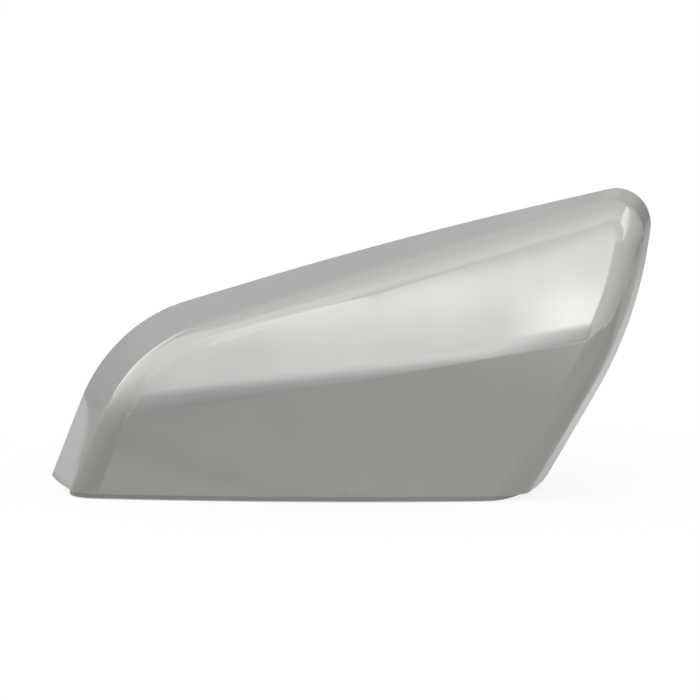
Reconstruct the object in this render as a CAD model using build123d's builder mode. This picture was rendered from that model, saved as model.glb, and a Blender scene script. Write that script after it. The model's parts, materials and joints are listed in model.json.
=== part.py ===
import os
from itertools import pairwise
from math import radians, tan

from build123d import *

# Clip-on upper cover of a left-hand car door mirror: one hollow plated moulding, in millimetres.
# The front faces -Y and +Z is up. The inboard end is at -X and the pointed outboard tip at +X.
# The rear rim meets the mirror housing, and the lower edge is open.

# Rim outline, measured in the rim plane from the inboard foot
base_length = 209
shoulder_inset = 24.4
shoulder_height = 65.2
crown_inset = 145.6
crown_height = 103.3
tip_inset = 256.3
tip_height = 130.4
knee_inset = 247.8
knee_height = 68.4

# Corner curves of the outline, by how far along its sides each one starts. The tip's is a little wider
# than the roll, which has to follow it round, and a short side limits the others to a share of its length.
shoulder_reach = 34.6
crown_reach = 63.9
knee_reach = 38
front_knee_reach = 17.4
tip_round = 1
side_share = 0.98

# Rim plane: the inboard foot's distance beside and behind the foremost point of the lower edge
inboard_reach = 115
inboard_depth = 70.2
rim_yaw = 7
rim_lean = 7.5

# Lean of the side walls towards the front, in degrees from the draw of the mould
inboard_draft = 10
top_draft = 5.5
outboard_draft = 11

# Front: a lower and an upper face meet in a soft ridge that climbs outboard, swept round a wide crown
plan_radius = 700
lower_lean = 5
upper_lean = 18
ridge_height = 52
ridge_slope = 9
ridge_radius = 38
roll_radius = 14

# Shell, and the lip that carries its inner layer on below the front of the lower edge, for a trim panel to lap
wall = 2.5
lip_height = 2.2
lip_depth = 1
lip_inboard = 105
lip_outboard = 83
lip_reach = 20
foot_flat = 12

# Clip hooks, by their distance along the rim from the inboard foot, each between two ribs
hook_stations = (24, 130, 235, 385)
hook_width = 9
hook_thickness = 1.8
hook_gap = 4
hook_setback = 2
hook_length = 16
hook_root = 5
barb = 1.6
barb_lead = 3
rib_spacing = 14
rib_thickness = 1.2
rib_height = 5
rib_length = 22

# Locating posts: a round pin on a cross-shaped web, placed in the rim plane from the inboard foot
post_points = ((62, 40), (185, 62))
pin_radius = 3
pin_length = 12
pin_setback = 2
pin_chamfer = 0.8
web_span = 11
web_thickness = 1.5

# Spare length that the trims take off again
overrun = 15

os.makedirs("parts", exist_ok=True)

inboard_foot = Vector(-inboard_reach, inboard_depth)
rim_plane = Plane(inboard_foot, x_dir=(1, 0, 0), z_dir=(0, -1, 0)).rotated(
    (-rim_lean, 0, -rim_yaw), ordering=Extrinsic.XYZ
)
rim_points = (
    (0, 0),
    (shoulder_inset, shoulder_height),
    (crown_inset, crown_height),
    (tip_inset, tip_height),
    (knee_inset, knee_height),
    (base_length, 0),
)
tip_radius = roll_radius + tip_round
side_drafts = (inboard_draft, top_draft, top_draft, outboard_draft, outboard_draft)

# Each side wall is a plane through one side of the rim outline, leaning in from the draw
draw = Vector(0, -1, 0)
side_walls = []
for (start, end), angle in zip(pairwise(rim_points), side_drafts):
    corner = rim_plane.from_local_coords(Vector(start))
    along = rim_plane.from_local_coords(Vector(end)) - corner
    forward = draw + along.cross(rim_plane.z_dir).normalized() * tan(radians(angle))
    side_walls.append(Plane(corner, x_dir=along, z_dir=along.cross(forward)))
below = Plane.XY.offset(-overrun)

# The front is turned about an upright axis far behind it, tipped so that the ridge climbs outboard
ridge_apex = Vector(0, ridge_height * tan(radians(lower_lean)), ridge_height)
crown_plane = Plane(ridge_apex + (0, plan_radius, 0), x_dir=(1, 0, 0), z_dir=(0, -1, 0)).rotated(
    (0, -ridge_slope, 0)
)
crown_axis = Axis(crown_plane.origin, -crown_plane.y_dir)
span = tip_height + overrun
turned_depth = 2 * inboard_depth


def corner_radii(corners, knee):
    """Radius of the outline's curve at each corner, for a knee that starts this far from its corner."""
    sides = [Vector(end) - Vector(start) for start, end in pairwise(corners)]
    bends = [tan(radians(before.get_angle(after) / 2)) for before, after in pairwise(sides)]
    inboard_room, rise_room, crest_room, outboard_room, lower_room = (side_share * side.length for side in sides)
    tip = tip_radius * bends[2]
    rise_fit = min(1, rise_room / (shoulder_reach + crown_reach))
    reaches = (
        min(shoulder_reach * rise_fit, inboard_room),
        min(crown_reach * rise_fit, crest_room - tip),
        tip,
        min(knee, outboard_room - tip, lower_room),
    )
    return [reach / bend for reach, bend in zip(reaches, bends)]


def solid_form(inset):
    """The cover as a solid, with its walls and front moved in by this much and not yet trimmed."""
    boundary = [below, *(side.offset(inset) for side in side_walls), below]
    with BuildPart() as body:
        # Side walls, from behind the rim to ahead of the front
        for section, knee in (
            (rim_plane.offset(-overrun), knee_reach),
            (Plane.XZ.offset(overrun), front_knee_reach),
        ):
            corners = [
                section.to_local_coords(section.intersect(one.intersect(other)))
                for one, other in pairwise(boundary)
            ]
            with BuildSketch(section):
                with BuildLine():
                    radii = [radius - inset for radius in corner_radii(corners, knee)]
                    outline = FilletPolyline(*corners, radius=radii)
                    Line(outline @ 1, outline @ 0)
                make_face()
        loft(ruled=True)

        # Front faces and ridge
        with BuildSketch(crown_plane):
            with BuildLine():
                front = FilletPolyline(
                    (plan_radius + span * tan(radians(lower_lean)), -span),
                    (plan_radius, 0),
                    (plan_radius - span * tan(radians(upper_lean)), span),
                    radius=ridge_radius,
                )
                turned_back = plan_radius - turned_depth
                Polyline(front @ 1, (turned_back, span), (turned_back, -span), front @ 0)
            make_face()
            if inset:
                offset(amount=-inset)
        revolve(axis=crown_axis, revolution_arc=180, mode=Mode.INTERSECT)

        # Roll from the front into the side walls
        front_edges = body.edges(Select.NEW).filter_by(lambda edge: edge.center().Z > -overrun / 2)
        fillet(front_edges, radius=roll_radius - inset)
    return body.part


with BuildPart() as cover:
    add(solid_form(0))
    split(bisect_by=rim_plane, keep=Keep.TOP)
    split(bisect_by=Plane.XY, keep=Keep.TOP)
    add(solid_form(wall), mode=Mode.SUBTRACT)

# Lip: the wall without its outer layer, between the lip's two ends
with BuildPart() as lip:
    with Locations((-lip_inboard, -overrun, -overrun)):
        Box(
            lip_inboard + lip_outboard,
            overrun + inboard_depth,
            overrun + lip_height,
            align=(Align.MIN, Align.MIN, Align.MIN),
        )
    add(solid_form(lip_depth), mode=Mode.INTERSECT)

# What the lower edge leaves out: it stands on its inboard foot and rises to the top of the lip
with BuildPart() as under_edge:
    with BuildSketch(Plane.YZ.offset(-inboard_reach - overrun)):
        with BuildLine():
            Polyline(
                (-overrun, -overrun),
                (inboard_depth - foot_flat, -overrun),
                (inboard_depth - foot_flat, 0),
                (lip_reach, lip_height),
                (-overrun, lip_height),
                close=True,
            )
        make_face()
    extrude(amount=tip_inset + 2 * overrun)
    add(lip.part, mode=Mode.SUBTRACT)

with BuildLine(rim_plane):
    rim_line = FilletPolyline(*rim_points, radius=corner_radii(rim_points, knee_reach))


def rim_frame(distance):
    """Plane across the side wall, this far along the rim: X points inwards and Y forwards."""
    point = rim_line.position_at(distance, position_mode=PositionMode.LENGTH)
    tangent = rim_line.tangent_at(distance, position_mode=PositionMode.LENGTH)
    return Plane(point, x_dir=tangent.cross(rim_plane.z_dir), z_dir=-tangent)


# Hooks, ribs and posts run into the wall to half its thickness
finger = wall + hook_gap
finger_back = finger + hook_thickness
root = hook_setback + hook_length
with BuildPart() as fittings:
    for station in hook_stations:
        with BuildSketch(rim_frame(station)):
            with BuildLine():
                Polyline(
                    (0, root),
                    (finger, root),
                    (finger, hook_setback),
                    (finger_back, hook_setback),
                    (finger_back + barb, hook_setback + barb_lead),
                    (finger_back, hook_setback + barb_lead),
                    (finger_back, root + hook_root),
                    (0, root + hook_root + finger_back),
                    close=True,
                )
            make_face()
        extrude(amount=hook_width / 2, both=True)
        for rib_station in (station - rib_spacing, station + rib_spacing):
            with BuildSketch(rim_frame(rib_station)):
                with BuildLine():
                    Polyline((0, 0), (wall + rib_height, 0), (wall, rib_length), (0, rib_length), close=True)
                make_face()
            extrude(amount=rib_thickness / 2, both=True)
    with BuildSketch(rim_plane.offset(pin_setback + pin_length)):
        with Locations(*post_points):
            Rectangle(web_span, web_thickness)
            Rectangle(web_thickness, web_span)
    extrude(amount=inboard_depth)
    with BuildSketch(rim_plane.offset(pin_setback)):
        with Locations(*post_points):
            Circle(pin_radius)
    extrude(amount=pin_length)
    pin_ends = fittings.edges().filter_by(GeomType.CIRCLE).group_by(Axis(rim_plane.origin, rim_plane.z_dir))[0]
    chamfer(pin_ends, length=pin_chamfer)
    add(solid_form(wall / 2), mode=Mode.INTERSECT)

with BuildPart() as mirror_cover:
    add(cover.part)
    add(under_edge.part, mode=Mode.SUBTRACT)
    add(fittings.part)

# Origin under the middle of the finished cover
middle = mirror_cover.part.bounding_box().center()
placed = Pos(-middle.X, -middle.Y, 0) * mirror_cover.part
placed.label = "mirror_cover"
export_step(placed, "parts/mirror_cover.step")
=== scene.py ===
import json
import math

import bpy
import numpy as np
from mathutils import Matrix, Vector

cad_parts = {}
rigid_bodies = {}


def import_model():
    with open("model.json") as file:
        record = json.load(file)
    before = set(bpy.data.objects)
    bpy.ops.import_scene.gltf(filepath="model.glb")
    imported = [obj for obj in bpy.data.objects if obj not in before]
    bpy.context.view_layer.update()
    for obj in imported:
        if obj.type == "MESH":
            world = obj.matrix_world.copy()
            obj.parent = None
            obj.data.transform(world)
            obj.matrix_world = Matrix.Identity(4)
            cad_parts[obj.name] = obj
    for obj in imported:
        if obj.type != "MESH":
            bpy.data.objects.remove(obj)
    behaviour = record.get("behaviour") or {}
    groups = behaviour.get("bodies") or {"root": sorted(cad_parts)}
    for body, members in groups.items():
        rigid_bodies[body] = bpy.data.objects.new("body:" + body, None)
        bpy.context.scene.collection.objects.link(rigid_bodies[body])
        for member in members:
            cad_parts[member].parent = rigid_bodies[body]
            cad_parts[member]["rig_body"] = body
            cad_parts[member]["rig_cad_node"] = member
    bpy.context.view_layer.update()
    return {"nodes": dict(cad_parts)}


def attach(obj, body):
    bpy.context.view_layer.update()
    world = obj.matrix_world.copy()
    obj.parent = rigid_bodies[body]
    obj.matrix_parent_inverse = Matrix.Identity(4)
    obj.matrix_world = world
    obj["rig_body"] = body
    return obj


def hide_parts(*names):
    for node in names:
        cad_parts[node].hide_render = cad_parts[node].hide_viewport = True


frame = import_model()
mm = 0.001

scene = bpy.context.scene
scene.view_settings.view_transform = "Standard"


def linear(hexColour):
    # sRGB hex to the linear colour that sockets take
    channels = [int(hexColour[i:i + 2], 16) / 255 for i in (1, 3, 5)]
    return [c / 12.92 if c <= 0.04045 else ((c + 0.055) / 1.055) ** 2.4 for c in channels] + [1]


def addNode(tree, kind, settings=None, values=None, links=None):
    # one node, with its settings, its socket values and the sockets that feed it
    node = tree.nodes.new(kind)
    for name, value in (settings or {}).items():
        setattr(node, name, value)
    for name, value in (values or {}).items():
        node.inputs[name].default_value = value
    for name, source in (links or {}).items():
        tree.links.new(source, node.inputs[name])
    return node


def newMaterial(name):
    material = bpy.data.materials.new(name)
    material.use_nodes = True
    material.node_tree.nodes.clear()
    return material, material.node_tree


# Cover: a copy of the CAD shell, merged, with its outer edges eased a little and its lip run out at the tip
cover = {
    "node": "mirror_cover",
    "mergeDistance": 0.002 * mm,
    "flatAngle": math.radians(0.005),  # only truly flat neighbours are joined
    "edgeEase": 0.45 * mm,
    "edgeSteps": 3,
    "easedAngle": math.radians(40),  # only edges that turn by more are eased
    "easedSlot": 1,  # marks the eased faces until they are shaded
    "longestEdge": 6 * mm,
    "divideTurns": 6,
    "lipHeight": 2.2 * mm,
    "taperEnds": (54 * mm, 71.3 * mm),
    "taper": 0.93,  # share of the lip's height that is gone at the end
    "taperPower": 2,
    "sharpAngle": math.radians(30),
    "faceWeight": 100,  # the large faces lead the shading
}

# Form of the cover's skin, with the CAD's own sizes in mm. Chrome shows the least unevenness of a mesh,
# so the skin's shading follows this form and not the triangles.
form = {
    "originShift": (11.6503, 37.161, 0),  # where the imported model's origin lies in the form
    "rimFoot": (-115, 70.2, 0),
    "rimYaw": math.radians(7),
    "rimLean": math.radians(7.5),
    "rimCorners": ((0, 0), (24.4, 65.2), (145.6, 103.3), (256.3, 130.4), (247.8, 68.4), (209, 0)),
    "drafts": (10, 5.5, 5.5, 11, 11),
    "shoulderReach": 34.6,
    "crownReach": 63.9,
    "tipRadius": 15,
    "kneeReach": (17.4, 38),  # at the two depths of the next line
    "kneeDepth": (-15, 60),
    "planRadius": 700,
    "leans": (math.radians(5), math.radians(18)),  # lower and upper face
    "ridgeHeight": 52,
    "ridgeSlope": math.radians(9),
    "ridgeRadius": 38,
    "rollRadius": 14,
    "lipDepth": 1,
    "lipFoot": 0.1,  # the lip's own edge lies below this height
    "edgeSlack": 0.06,
    # in the third column, the lip's 0.6 is partly painted shade, for the set-back under the lower edge
    "layers": ((0, 1, 0), (1, 1, 0.6), (2.5, -1, 1)),  # outer skin, lip, inner skin: depth, side, dullness
    "layerSlack": 0.45,
    "layerTurn": math.cos(math.radians(20)),
}


def rounded(one, other, radius):
    # depth and inward direction under two surfaces that meet in a round of this radius
    (depthA, inwardA), (depthB, inwardB) = one, other
    lean = (inwardA * inwardB).sum(1)
    shareA = ((radius - depthA) - lean * (radius - depthB)) / (1 - lean ** 2)
    shareB = ((radius - depthB) - lean * (radius - depthA)) / (1 - lean ** 2)
    toCentre = inwardA * shareA[:, None] + inwardB * shareB[:, None]
    length = np.linalg.norm(toCentre, axis=1)
    inRound = (shareA > 0) & (shareB > 0)
    nearerA = depthA < depthB
    depth = np.where(inRound, radius - length, np.where(nearerA, depthA, depthB))
    flat = np.where(nearerA[:, None], inwardA, inwardB)
    return depth, np.where(inRound[:, None], toCentre / length[:, None], flat)


def sideWalls(points):
    # the five leaning walls and the rounds between them
    yaw, lean = form["rimYaw"], form["rimLean"]
    across = np.array((math.cos(yaw), -math.sin(yaw), 0))
    ahead = np.array((-math.cos(lean) * math.sin(yaw), -math.cos(lean) * math.cos(yaw), math.sin(lean)))
    upward = np.cross(ahead, across)
    corners = [np.array(form["rimFoot"]) + across * x + upward * y for x, y in form["rimCorners"]]
    walls, inwards = [], []
    for start, end, draft in zip(corners, corners[1:], form["drafts"]):
        along = end - start
        side = np.cross(along, ahead)
        draw = np.array((0, -1, 0)) + side / np.linalg.norm(side) * math.tan(math.radians(draft))
        inward = np.cross(along, draw)
        inward /= np.linalg.norm(inward)
        inwards.append(inward)
        walls.append(((points - start) @ inward, np.tile(inward, (len(points), 1))))
    bends = [math.tan(math.acos(one @ other) / 2) for one, other in zip(inwards, inwards[1:])]
    kneeReach = np.interp(points[:, 1], form["kneeDepth"], form["kneeReach"])
    radii = (
        form["shoulderReach"] / bends[0],
        form["crownReach"] / bends[1],
        form["tipRadius"],
        kneeReach / bends[3],
    )
    depth, inward = rounded(walls[0], walls[1], radii[0])
    for one, other, radius in zip(walls[1:], walls[2:], radii[1:]):
        cornerDepth, cornerInward = rounded(one, other, radius)
        nearer = cornerDepth < depth
        depth = np.where(nearer, cornerDepth, depth)
        inward = np.where(nearer[:, None], cornerInward, inward)
    return depth, inward


def frontFaces(points):
    # the lower and the upper face, turned about one tipped axis, and the ridge between them
    slope = form["ridgeSlope"]
    axis = np.array((-math.sin(slope), 0, math.cos(slope)))
    setBack = form["ridgeHeight"] * math.tan(form["leans"][0]) + form["planRadius"]
    fromAxis = points - np.array((0, setBack, form["ridgeHeight"]))
    height = fromAxis @ axis
    radial = fromAxis - height[:, None] * axis
    radius = np.linalg.norm(radial, axis=1)
    radial /= radius[:, None]
    faces = []
    for lean in form["leans"]:
        depth = (form["planRadius"] - height * math.tan(lean) - radius) * math.cos(lean)
        faces.append((depth, -(radial * math.cos(lean) + axis * math.sin(lean))))
    return rounded(faces[0], faces[1], form["ridgeRadius"])


def skinDepth(mesh):
    # the vertices in the form's own place, how deep each lies under the outer skin, and which way is inwards
    points = np.array([vertex.co[:] for vertex in mesh.vertices]) / mm + np.array(form["originShift"])
    depth, inward = rounded(frontFaces(points), sideWalls(points), form["rollRadius"])
    return points, depth, inward


def easeEdges(piece):
    # the outer edges of the rim, of the lower edge and of the lip, rounded over as a mould leaves them
    mesh = piece.data
    points, depth = skinDepth(mesh)[:2]
    outer = np.abs(depth) < form["edgeSlack"]
    lip = (np.abs(depth - form["lipDepth"]) < form["edgeSlack"]) & (points[:, 2] < form["lipFoot"])
    beside = {}
    for face in mesh.polygons:
        for key in face.edge_keys:
            beside.setdefault(key, []).append(face)
    for item in list(mesh.vertices) + list(mesh.polygons):
        item.select = False
    eased = 0
    for edge in mesh.edges:
        one, other = beside[edge.key][:2]
        ends = list(edge.vertices)
        edge.select = (one.normal.angle(other.normal) > cover["easedAngle"]
                       and (other.center - one.center).dot(one.normal) < 0
                       and bool(np.all(outer[ends]) or np.all(lip[ends])))
        eased += edge.select
    bpy.ops.object.mode_set(mode="EDIT")
    bpy.ops.mesh.select_mode(type="EDGE")
    bpy.ops.mesh.bevel(
        offset=cover["edgeEase"],
        segments=cover["edgeSteps"],
        affect="EDGES",
        clamp_overlap=False,
        material=cover["easedSlot"],
    )
    bpy.ops.object.mode_set(mode="OBJECT")
    print("edges eased:", eased)


def divideLongEdges(piece):
    # long triangles are cut up, so that the shading has a point to follow every few millimetres
    for turn in range(cover["divideTurns"]):
        for item in list(piece.data.vertices) + list(piece.data.polygons):
            item.select = False
        for edge in piece.data.edges:
            ends = [piece.data.vertices[i].co for i in edge.vertices]
            edge.select = (ends[1] - ends[0]).length > cover["longestEdge"]
        bpy.ops.object.mode_set(mode="EDIT")
        bpy.ops.mesh.select_mode(type="EDGE")
        bpy.ops.mesh.subdivide(number_cuts=1)
        bpy.ops.mesh.select_all(action="SELECT")
        bpy.ops.mesh.quads_convert_to_tris(quad_method="BEAUTY", ngon_method="BEAUTY")
        bpy.ops.object.mode_set(mode="OBJECT")


def taperLip(piece):
    # towards the tip the lip runs out upwards, into the lower edge
    start, end = cover["taperEnds"]
    for vertex in piece.data.vertices:
        if vertex.co.z < cover["lipHeight"] and vertex.co.x > start:
            share = min(1, (vertex.co.x - start) / (end - start))
            vertex.co.z += (cover["lipHeight"] - vertex.co.z) * cover["taper"] * share ** cover["taperPower"]


def smoothSkin(piece):
    # shading directions of the outer skin, of the lip and of the inner skin, from the form;
    # what lies on none of them, such as the posts and hooks, keeps its own and is dull
    mesh = piece.data
    depth, inward = skinDepth(mesh)[1:]
    shading = [corner.vector.copy() for corner in mesh.corner_normals]
    dullnessAndShade = np.ones(len(mesh.polygons))
    shaded = 0
    for face in mesh.polygons:
        if face.material_index == cover["easedSlot"]:
            face.material_index = 0
            dullnessAndShade[face.index] = 0
            continue
        ids = list(face.vertices)
        for layer, side, dullAndShade in form["layers"]:
            onLayer = np.all(np.abs(depth[ids] - layer) < form["layerSlack"])
            directions = -side * inward[ids]
            if onLayer and np.all(directions @ np.array(face.normal) > form["layerTurn"]):
                for loop, direction in zip(face.loop_indices, directions):
                    shading[loop] = Vector(direction)
                # on the lip this value also darkens the plating: painted shade under the lower edge
                dullnessAndShade[face.index] = dullAndShade
                shaded += 1
                break
    mesh.normals_split_custom_set(shading)
    mesh.attributes.new("dullnessAndShade", "FLOAT", "FACE").data.foreach_set("value", dullnessAndShade)
    print("skin faces shaded by the form:", shaded, "of", len(mesh.polygons))


def makeCover():
    bpy.ops.object.select_all(action="DESELECT")
    node = frame["nodes"][cover["node"]]
    node.select_set(True)
    bpy.context.view_layer.objects.active = node
    bpy.ops.object.duplicate()
    piece = bpy.context.active_object
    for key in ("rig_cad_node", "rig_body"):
        if key in piece:
            del piece[key]
    piece.name = "chromeCover"
    piece.data.name = "chromeCover"
    while len(piece.data.materials) <= cover["easedSlot"]:
        piece.data.materials.append(None)
    # the CAD mesh is loose triangles with shading of their own, so the copy drops that and is merged first
    bpy.ops.object.mode_set(mode="EDIT")
    bpy.ops.mesh.customdata_custom_splitnormals_clear()
    bpy.ops.mesh.select_all(action="SELECT")
    bpy.ops.mesh.remove_doubles(threshold=cover["mergeDistance"])
    bpy.ops.mesh.dissolve_limited(angle_limit=cover["flatAngle"])
    bpy.ops.object.mode_set(mode="OBJECT")
    easeEdges(piece)
    divideLongEdges(piece)
    taperLip(piece)
    bpy.ops.object.shade_smooth_by_angle(angle=cover["sharpAngle"])
    weights = piece.modifiers.new("faceWeights", "WEIGHTED_NORMAL")
    weights.mode = "FACE_AREA"
    weights.weight = cover["faceWeight"]
    weights.keep_sharp = True
    bpy.ops.object.modifier_apply(modifier=weights.name)
    smoothSkin(piece)
    return piece


# Chrome plating on polished ABS: a mirror of slightly warm grey metal. The mould leaves a faint waviness that
# softens what it mirrors. Inside, where nothing is polished, the plating is thin and dull. On the set-back
# lip
# it is rougher and darker: the darker colour there is painted shade under the lower edge.
chrome = {
    "outside": "#bbbcb7",
    "dullAndShadeColour": "#8f908c",
    "roughness": (0.05, 0.075),
    "insideRoughness": 0.3,
    "waveLength": 30 * mm,
    "waveDetail": 1,
    "waveHeight": 0.015 * mm,
    "grainLength": 9 * mm,
    "grainDetail": 3,
}


def makeChrome():
    material, tree = newMaterial("chromePlatedAbs")
    where = addNode(tree, "ShaderNodeTexCoord").outputs["Object"]
    wave = addNode(tree, "ShaderNodeTexNoise", links={"Vector": where}, values={
        "Scale": 1 / chrome["waveLength"],
        "Detail": chrome["waveDetail"],
    })
    bump = addNode(tree, "ShaderNodeBump", values={"Distance": chrome["waveHeight"]},
                   links={"Height": wave.outputs["Fac"]})
    grain = addNode(tree, "ShaderNodeTexNoise", links={"Vector": where}, values={
        "Scale": 1 / chrome["grainLength"],
        "Detail": chrome["grainDetail"],
    })
    low, high = chrome["roughness"]
    polish = addNode(tree, "ShaderNodeMapRange", values={"To Min": low, "To Max": high},
                     links={"Value": grain.outputs["Fac"]})
    dullAndShade = addNode(tree, "ShaderNodeAttribute", {"attribute_name": "dullnessAndShade"}).outputs["Fac"]
    # Mix has sockets of one name for each type, so they go by number: 2 and 3 are floats, 6 and 7 colours
    roughness = addNode(tree, "ShaderNodeMix", values={3: chrome["insideRoughness"]},
                        links={0: dullAndShade, 2: polish.outputs[0]})
    colour = addNode(tree, "ShaderNodeMix", {"data_type": "RGBA"},
                     # the darker colour, full inside and at 0.6 on the lip, where it is painted shade
                     {6: linear(chrome["outside"]), 7: linear(chrome["dullAndShadeColour"])}, {0: dullAndShade})
    shader = addNode(tree, "ShaderNodeBsdfPrincipled", values={"Metallic": 1}, links={
        "Base Color": colour.outputs[2],
        "Roughness": roughness.outputs[0],
        "Normal": bump.outputs[0],
    })
    addNode(tree, "ShaderNodeOutputMaterial", links={"Surface": shader.outputs["BSDF"]})
    return material


coverPiece = makeCover()
coverPiece.data.materials.clear()
coverPiece.data.materials.append(makeChrome())
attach(coverPiece, "root")
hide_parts("mirror_cover")
print("cover faces:", len(coverPiece.data.polygons))

# Camera: at the photograph's angle, 8 degrees above the object, and far away
camera = {
    "target": (0.28 * mm, -2.0 * mm, 58.9 * mm),
    "elevation": math.radians(8),
    "distance": 2500 * mm,
    "frameWidth": 292.5 * mm,
    "sensor": 36,
    "clipEnd": 100,
}


def makeCamera():
    data = bpy.data.cameras.new("camera")
    made = bpy.data.objects.new("camera", data)
    scene.collection.objects.link(made)
    back = Vector((0, -math.cos(camera["elevation"]), math.sin(camera["elevation"])))
    made.location = Vector(camera["target"]) + back * camera["distance"]
    made.rotation_euler = (math.pi / 2 - camera["elevation"], 0, 0)
    data.sensor_width = camera["sensor"]
    data.lens = camera["sensor"] * camera["distance"] / camera["frameWidth"]
    data.clip_end = camera["clipEnd"]
    scene.camera = made
    print("camera set, lens in mm:", round(data.lens, 1))


makeCamera()

# Floor: plain paper. Its own grey takes the object's shadow, and camera, mirror and glass rays see it
# lifted to white.
floor = {"size": 12.0, "colour": "#747474", "lift": 0.84}


def makeFloor():
    bpy.ops.object.select_all(action="DESELECT")
    bpy.ops.mesh.primitive_plane_add(size=floor["size"], location=(0, 0, 0))
    piece = bpy.context.active_object
    piece.name = "floor"
    material, tree = newMaterial("whitePaper")
    paper = addNode(tree, "ShaderNodeBsdfDiffuse", values={"Color": linear(floor["colour"])})
    rays = addNode(tree, "ShaderNodeLightPath")
    seen = addNode(tree, "ShaderNodeMath", {"operation": "MAXIMUM"},
                   links={0: rays.outputs["Is Camera Ray"], 1: rays.outputs["Is Glossy Ray"]})
    seen = addNode(tree, "ShaderNodeMath", {"operation": "MAXIMUM"},
                   links={0: seen.outputs[0], 1: rays.outputs["Is Transmission Ray"]})
    lift = addNode(tree, "ShaderNodeMath", {"operation": "MULTIPLY"},
                   {1: floor["lift"]}, {0: seen.outputs[0]})
    glow = addNode(tree, "ShaderNodeEmission", links={"Strength": lift.outputs[0]})
    both = addNode(tree, "ShaderNodeAddShader", links={0: paper.outputs[0], 1: glow.outputs[0]})
    addNode(tree, "ShaderNodeOutputMaterial", links={"Surface": both.outputs[0]})
    piece.data.materials.append(material)
    print("floor laid")


makeFloor()

# Studio cards: flat panels that the chrome mirrors, out of the camera's sight, all facing one point.
# Each has the corners of its outline, in metres, and its brightness from bottom to top. A slope tips
# that rise along the card, and sideLevels dim or brighten it from left to right.
cardAim = Vector((0, -20 * mm, 70 * mm))

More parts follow.
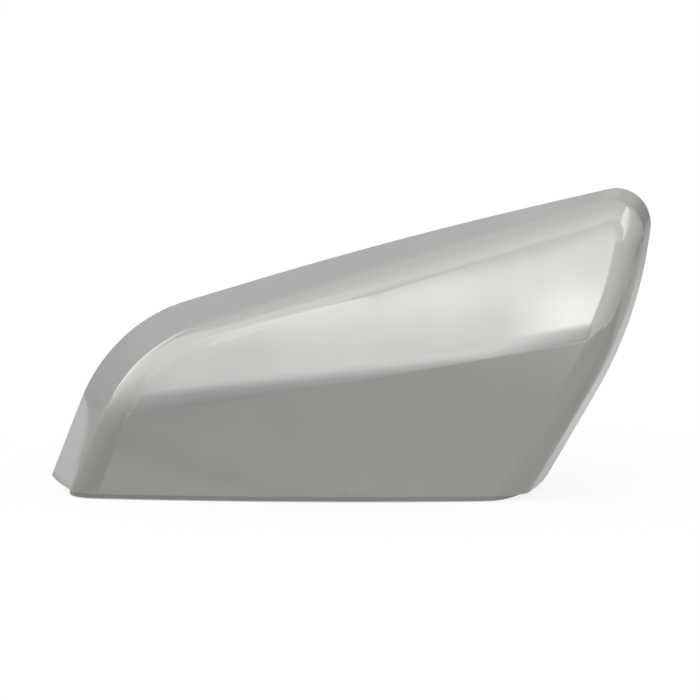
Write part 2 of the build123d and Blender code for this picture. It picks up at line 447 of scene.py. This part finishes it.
# Four of them share one plane above the camera, rolled to follow the climb of the ridge
highCards = {"azimuth": -3, "elevation": 28, "roll": 14.6, "tint": "#fdfbff"}
cards = {
    # the upper face, brightest towards the tip
    "softbox": {
        **highCards, "distance": 0.6, "slope": 0.1,
        "outline": (
            (-0.18, 0.0051), (0.337, -0.035), (0.337, 0.0185), (0.24, 0.0112),
            (0.18, 0.0102), (0.025, 0.0135), (-0.06, 0.2), (-0.18, 0.457),
        ),
        "levels": ((-0.03, 1.26), (-0.002, 1.29), (0.006, 1.46), (0.014, 1.53), (0.03, 1.55), (0.3, 1.6)),
        "sideLevels": ((-0.18, 0.86), (-0.11, 0.91), (-0.05, 1.0), (0.05, 1.03), (0.15, 1.0), (0.3, 0.92)),
        "hotSpot": {"centre": (0.265, -0.028), "reach": (0.11, 0.03), "gain": 0.55},
    },
    # the dimmer left end of the upper face
    "shoulderCard": {
        **highCards, "distance": 0.6, "slope": 1.4,
        "outline": ((-0.45, 0.026), (-0.18, 0.0051), (-0.18, 0.457), (-0.2, 0.5), (-0.45, 0.5)),
        "levels": (
            (-0.6, 0.7), (-0.43, 0.82), (-0.35, 0.94), (-0.32, 1.1),
            (-0.27, 1.17), (-0.2, 1.23), (-0.02, 1.25), (0.19, 1.34),
        ),
    },
    # the ridge from the left end to past the middle, where the light fades out downwards
    "fillCard": {
        **highCards, "distance": 0.601, "slope": 0.75,
        "outline": ((-0.45, -0.3), (0.14, -0.3), (0.14, -0.019), (-0.45, 0.027)),
        "levels": (
            (-0.53, 0.51), (-0.45, 0.54), (-0.36, 0.6), (-0.27, 0.7), (-0.23, 0.8), (-0.19, 0.93),
            (-0.15, 1.08), (-0.1, 1.2), (-0.06, 1.25), (-0.01, 1.19), (0.04, 1.19), (0.09, 1.24),
        ),
        "sideLevels": ((-0.33, 1.1), (-0.25, 1.0), (-0.18, 0.95), (-0.1, 1.0), (0.0, 1.02), (0.14, 1.02)),
    },
    # the right end of the ridge
    "ridgeCard": {
        **highCards, "distance": 0.601, "slope": -1.4,
        "outline": ((0.14, -0.3), (0.337, -0.3), (0.337, -0.034), (0.14, -0.019)),
        "levels": (
            (-0.75, 0.6), (-0.66, 0.69), (-0.57, 0.86), (-0.49, 1.02),
            (-0.44, 1.14), (-0.4, 1.23), (-0.33, 1.27), (-0.2, 1.28),
        ),
        "hotSpot": {"centre": (0.265, -0.028), "reach": (0.11, 0.1), "gain": 0.55},
    },
    # the grey lower face
    "frontCard": {
        "distance": 0.9, "azimuth": 0, "elevation": 0,
        "outline": ((-1.6, -0.07), (1.6, -0.07), (1.6, 0.18), (-1.6, 0.18)),
        "levels": (
            (-0.07, 0.44), (-0.068, 0.48), (-0.065, 0.6), (-0.045, 0.6), (-0.03, 0.575),
            (0.03, 0.59), (0.06, 0.64), (0.08, 0.71), (0.1, 0.83), (0.18, 0.9),
        ),
        "sideLevels": ((-0.9, 0.82), (-0.4, 0.88), (-0.16, 0.98), (0.0, 1.0), (1.0, 1.02)),
    },
    # the roll at the left end and over the shoulder
    "leftWall": {
        "distance": 1.0, "azimuth": -65, "elevation": 0,
        "outline": ((-2.5, -0.07), (1.5, -0.07), (1.5, 2.6), (-2.5, 2.6)),
        "levels": (
            (-0.07, 0.55), (-0.03, 0.55), (0.0, 0.49), (0.1, 0.5), (0.18, 0.56), (0.26, 0.61), (0.4, 0.66),
            (0.54, 0.75), (0.68, 0.9), (0.8, 1.07), (0.9, 1.16), (1.15, 1.22), (2.6, 1.2),
        ),
    },
    # a thin bright line along the shoulder
    "leftStrip": {
        "distance": 0.6, "azimuth": -142, "elevation": 22,
        "outline": ((-0.075, -0.15), (0.06, -0.15), (0.14, -0.02), (0.14, 0.13), (-0.075, 0.13)),
        "levels": ((-0.15, 1.3), (-0.05, 1.4), (0.05, 1.24), (0.13, 1.2)),
    },
    # the pale facet of the end wall: so near a flat wall, the card's curved edge shows as the facet's border
    "endCard": {
        "distance": 0.18, "azimuth": -158, "elevation": 0,
        "outline": (
            (0.07, -0.034), (0.082, -0.034), (0.088, -0.038), (0.094, -0.045),
            (0.099, -0.053), (0.106, -0.069), (0.075, -0.069),
        ),
        "levels": ((-0.069, 0.66), (-0.034, 0.68)),
    },
    # the top wall, round the shoulder and the tip
    "backCard": {
        "distance": 3.2, "azimuth": 180, "elevation": 0,
        "outline": ((-3.3, -0.1), (3.3, -0.1), (3.3, 1.6), (-3.3, 1.6)),
        "levels": (
            (-0.07, 0.5), (0.03, 0.5), (0.11, 0.52), (0.45, 0.57),
            (0.68, 0.64), (0.95, 0.65), (1.16, 0.75), (1.6, 0.85),
        ),
        "sideLevels": ((-2.0, 0.7), (-1.5, 0.82), (0.2, 1.0), (1.2, 1.0), (2.3, 1.12)),
    },
    # the small highlight at the tip
    "tipStrip": {
        "distance": 0.6, "azimuth": 50, "elevation": 40, "slope": -0.61,
        "outline": ((-0.09, -0.046), (-0.02, -0.15), (0.1, -0.17), (0.8, 0.27), (0.8, 0.5)),
        "levels": ((-0.25, 0.88), (-0.18, 0.93), (-0.13, 1.07), (-0.09, 1.3), (-0.05, 1.5), (0.01, 1.54)),
    },
    # a mat just above the floor, which the chrome mirrors in its place: the outboard wall and the lower left
    "greyMat": {
        "distance": 0.0695, "azimuth": 0, "elevation": -90,
        "outline": ((-7.0, -7.0), (7.0, -7.0), (7.0, 0.9), (-7.0, 0.9)),
        "levels": (
            (-3.3, 0.5), (-0.62, 0.5), (-0.4, 0.64), (-0.12, 0.66), (-0.06, 0.54),
            (-0.02, 0.52), (0.04, 0.56), (0.15, 0.58), (0.9, 0.57),
        ),
        "sideLevels": ((-0.2, 1.0), (0.2, 1.0), (1.0, 0.95), (3.0, 1.2)),
    },
}

# The cards' cloth isn't lit quite evenly: soft patches some 7 cm across
cloth = {"tint": "#ffffff", "scale": 14, "detail": 2, "unevenness": 0.08}


def addRamp(tree, source, levels, tint=cloth["tint"]):
    # brightness along one axis, from place and level pairs, as a share of the highest level
    low, high = levels[0][0], levels[-1][0]
    peak = max(level for place, level in levels)
    share = addNode(tree, "ShaderNodeMapRange", values={"From Min": low, "From Max": high},
                    links={"Value": source})
    ramp = addNode(tree, "ShaderNodeValToRGB", links={"Fac": share.outputs[0]})
    while len(ramp.color_ramp.elements) < len(levels):
        ramp.color_ramp.elements.new(0.5)  # anywhere: the next lines place it
    for element, (place, level) in zip(ramp.color_ramp.elements, levels):
        element.position = (place - low) / (high - low)
        element.color = [level / peak * part for part in linear(tint)[:3]] + [1]
    return ramp.outputs["Color"], peak


def cardPlane(card):
    # the card's place: X runs along it, Y up it and Z towards the cover
    turn, lift, roll = (math.radians(card.get(key, 0)) for key in ("azimuth", "elevation", "roll"))
    outward = Vector((math.sin(turn) * math.cos(lift), -math.cos(turn) * math.cos(lift), math.sin(lift)))
    level = Vector((math.cos(turn), math.sin(turn), 0))
    across = Matrix.Rotation(roll, 3, outward) @ level
    axes = Matrix((across, outward.cross(across), -outward)).transposed()
    return Matrix.Translation(cardAim + outward * card["distance"]) @ axes.to_4x4()


def cardCloth(name, card):
    # cloth that glows by the card's levels, in soft patches, with more light round a hot spot
    material, tree = newMaterial(name)
    where = addNode(tree, "ShaderNodeTexCoord").outputs["Object"]
    rise = addNode(tree, "ShaderNodeVectorMath", {"operation": "DOT_PRODUCT"},
                   {1: (card.get("slope", 0), 1, 0)}, {0: where})
    tone, strength = addRamp(tree, rise.outputs["Value"], card["levels"], card.get("tint", cloth["tint"]))
    if "sideLevels" in card:
        axes = addNode(tree, "ShaderNodeSeparateXYZ", links={0: where})
        sideTone, gain = addRamp(tree, axes.outputs["X"], card["sideLevels"])
        strength *= gain
        tone = addNode(tree, "ShaderNodeMix", {"data_type": "RGBA", "blend_type": "MULTIPLY"}, {"Factor": 1},
                       {6: tone, 7: sideTone}).outputs[2]
    weave = addNode(tree, "ShaderNodeTexNoise", links={"Vector": where}, values={
        "Scale": cloth["scale"],
        "Detail": cloth["detail"],
    })
    uneven = addNode(tree, "ShaderNodeMapRange", links={"Value": weave.outputs["Fac"]}, values={
        "To Min": strength * (1 - cloth["unevenness"]),
        "To Max": strength * (1 + cloth["unevenness"]),
    })
    glow = addNode(tree, "ShaderNodeEmission",
                   links={"Color": tone, "Strength": uneven.outputs[0]}).outputs[0]
    if "hotSpot" in card:
        spot = card["hotSpot"]
        shrink = [1 / reach for reach in spot["reach"]]
        shift = [-place * size for place, size in zip(spot["centre"], shrink)]
        place = addNode(tree, "ShaderNodeMapping", links={"Vector": where}, values={
            "Location": (*shift, 0),
            "Scale": (*shrink, 1),
        })
        away = addNode(tree, "ShaderNodeVectorMath", {"operation": "LENGTH"}, links={0: place.outputs[0]})
        fade = addNode(tree, "ShaderNodeMapRange", {"interpolation_type": "SMOOTHSTEP"},
                       {"To Min": spot["gain"], "To Max": 0}, {"Value": away.outputs["Value"]})
        extra = addNode(tree, "ShaderNodeEmission", links={"Strength": fade.outputs[0]})
        glow = addNode(tree, "ShaderNodeAddShader", links={0: glow, 1: extra.outputs[0]}).outputs[0]
    addNode(tree, "ShaderNodeOutputMaterial", links={"Surface": glow})
    return material


def makeCard(name, card):
    mesh = bpy.data.meshes.new(name)
    corners = [(x, y, 0) for x, y in card["outline"]]
    mesh.from_pydata(corners, [], [list(range(len(corners)))])
    mesh.materials.append(cardCloth(name, card))
    piece = bpy.data.objects.new(name, mesh)
    scene.collection.objects.link(piece)
    piece.matrix_world = cardPlane(card)
    piece.visible_camera = False
    piece.visible_shadow = False
    piece.visible_diffuse = False


for cardName, cardValues in cards.items():
    makeCard(cardName, cardValues)
print("cards hung:", len(cards))

# Room: soft light from the walls and the ceiling, darker towards the floor and brighter ahead of the cover.
# Its levels go by how steeply one looks up, from -1, straight down, to 1.
room = {
    "levels": (
        (-1.0, 0.6), (0.0, 0.68), (0.15, 0.73), (0.25, 0.79), (0.45, 0.84),
        (0.55, 0.92), (0.65, 1.0), (0.75, 1.06), (0.85, 1.04), (1.0, 1.02),
    ),
    "frontGain": 0.18,
}


def makeRoom():
    world = bpy.data.worlds.new("room")
    scene.world = world
    world.use_nodes = True
    tree = world.node_tree
    tree.nodes.clear()
    where = addNode(tree, "ShaderNodeTexCoord")
    axes = addNode(tree, "ShaderNodeSeparateXYZ", links={0: where.outputs["Generated"]})
    tone, peak = addRamp(tree, axes.outputs["Z"], room["levels"])
    gain = addNode(tree, "ShaderNodeMath", {"operation": "MULTIPLY_ADD"},
                   {1: -peak * room["frontGain"], 2: peak}, {0: axes.outputs["Y"]})
    glow = addNode(tree, "ShaderNodeBackground", links={"Color": tone, "Strength": gain.outputs[0]})
    addNode(tree, "ShaderNodeOutputWorld", links={"Surface": glow.outputs[0]})
    print("room lit")


makeRoom()
